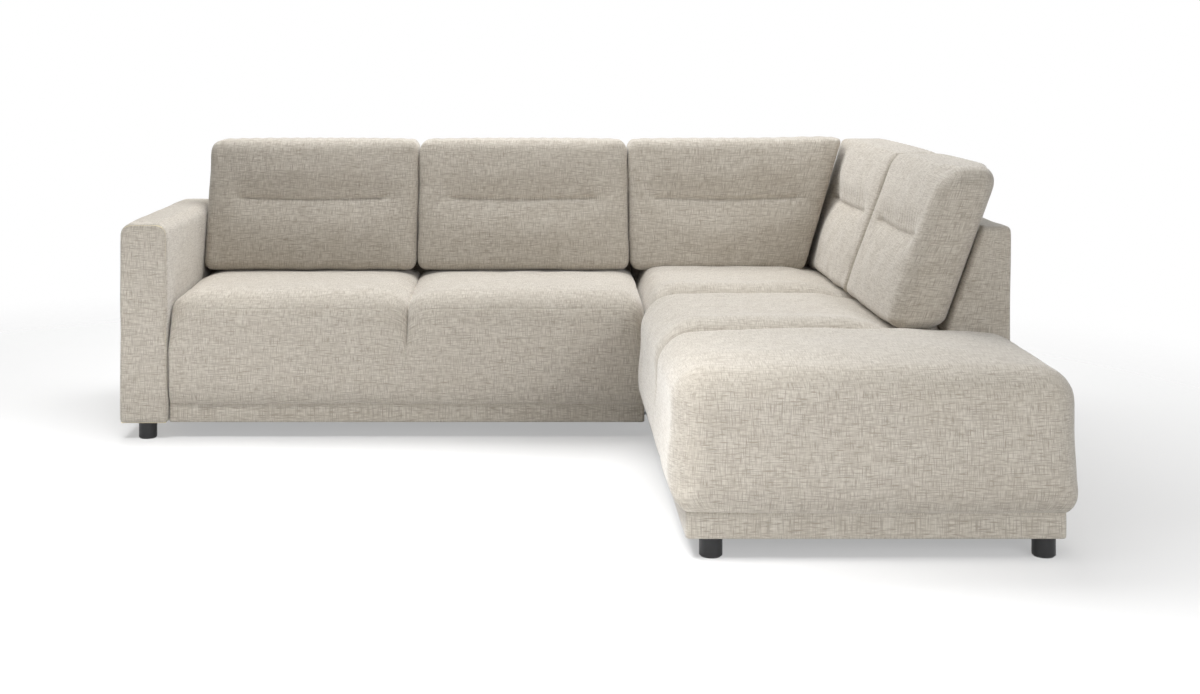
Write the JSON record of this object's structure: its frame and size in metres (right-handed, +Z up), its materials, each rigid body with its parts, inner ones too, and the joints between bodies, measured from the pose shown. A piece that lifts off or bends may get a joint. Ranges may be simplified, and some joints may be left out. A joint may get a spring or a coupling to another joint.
{
  "type": "corner sofa",
  "caption": "L-shaped corner sofa with one box arm, an open end seat, loose leaning back cushions and low round feet, in a beige linen-look weave.",
  "frame": {"origin": "middle of the floor area that the sofa's outer limits cover, at floor level", "axes": "+X along the long back, from the box arm to the side back; -Y the way that the long back's seats face; +Z up"},
  "size_m": [2.6262, 2.16, 0.908],
  "materials": {
    "linen_weave": "coarse plain weave of linen look, in warm beige",
    "zip_tape": "darker beige zip tape",
    "foam": "cream open-cell foam",
    "cushion_filling": "white filled inner bag",
    "elastic_webbing": "dark ribbed elastic webbing",
    "softwood": "sawn, unfinished softwood",
    "zinc_steel": "bright zinc plate",
    "black_plastic": "satin moulded black plastic",
    "dust_cloth": "thin black non-woven cloth"
  },
  "bodies": {
    "sofa": {"arm_cover": "linen_weave", "arm_frame": "softwood", "arm_pad": "foam", "connector_catches": "zinc_steel", "connector_hooks": "zinc_steel", "corner_back_cover": "linen_weave", "corner_back_frame": "softwood", "corner_dust_cover": "dust_cloth", "corner_feet": "black_plastic", "corner_plinth_band": "linen_weave", "corner_seat_cover": "linen_weave", "corner_seat_foam_end": "foam", "corner_seat_foam_middle": "foam", "corner_seat_foam_rear": "foam", "corner_seat_frame": "softwood", "corner_seat_webbing": "elastic_webbing", "end_seat_frame": "softwood", "foot_bolts": "zinc_steel", "side_back_cover": "linen_weave", "side_back_frame": "softwood", "sofa_back_cover": "linen_weave", "sofa_back_frame": "softwood", "sofa_dust_cover": "dust_cloth", "sofa_feet": "black_plastic", "sofa_plinth_band": "linen_weave", "sofa_seat_cover": "linen_weave", "sofa_seat_foam_left": "foam", "sofa_seat_foam_right": "foam", "sofa_seat_frame": "softwood", "sofa_seat_webbing": "elastic_webbing"},
    "cushion_1": {"cushion_1_core": "cushion_filling", "cushion_1_cover": "linen_weave", "cushion_1_zip": "zip_tape"},
    "cushion_2": {"cushion_2_core": "cushion_filling", "cushion_2_cover": "linen_weave", "cushion_2_zip": "zip_tape"},
    "cushion_3": {"cushion_3_core": "cushion_filling", "cushion_3_cover": "linen_weave", "cushion_3_zip": "zip_tape"},
    "cushion_4": {"cushion_4_core": "cushion_filling", "cushion_4_cover": "linen_weave", "cushion_4_zip": "zip_tape"},
    "cushion_5": {"cushion_5_core": "cushion_filling", "cushion_5_cover": "linen_weave", "cushion_5_zip": "zip_tape"}
  },
  "joints": [
    {"name": "lift_cushion_1", "type": "slide", "parent": "sofa", "child": "cushion_1", "axis": [0, 0.342, 0.9397], "range_m": [0, 0.5]},
    {"name": "lift_cushion_2", "type": "slide", "parent": "sofa", "child": "cushion_2", "axis": [0, 0.342, 0.9397], "range_m": [0, 0.5]},
    {"name": "lift_cushion_3", "type": "slide", "parent": "sofa", "child": "cushion_3", "axis": [0, 0.342, 0.9397], "range_m": [0, 0.5]},
    {"name": "lift_cushion_4", "type": "slide", "parent": "sofa", "child": "cushion_4", "axis": [0.342, 0, 0.9397], "range_m": [0, 0.5]},
    {"name": "lift_cushion_5", "type": "slide", "parent": "sofa", "child": "cushion_5", "axis": [0.342, 0, 0.9397], "range_m": [0, 0.5]}
  ]
}
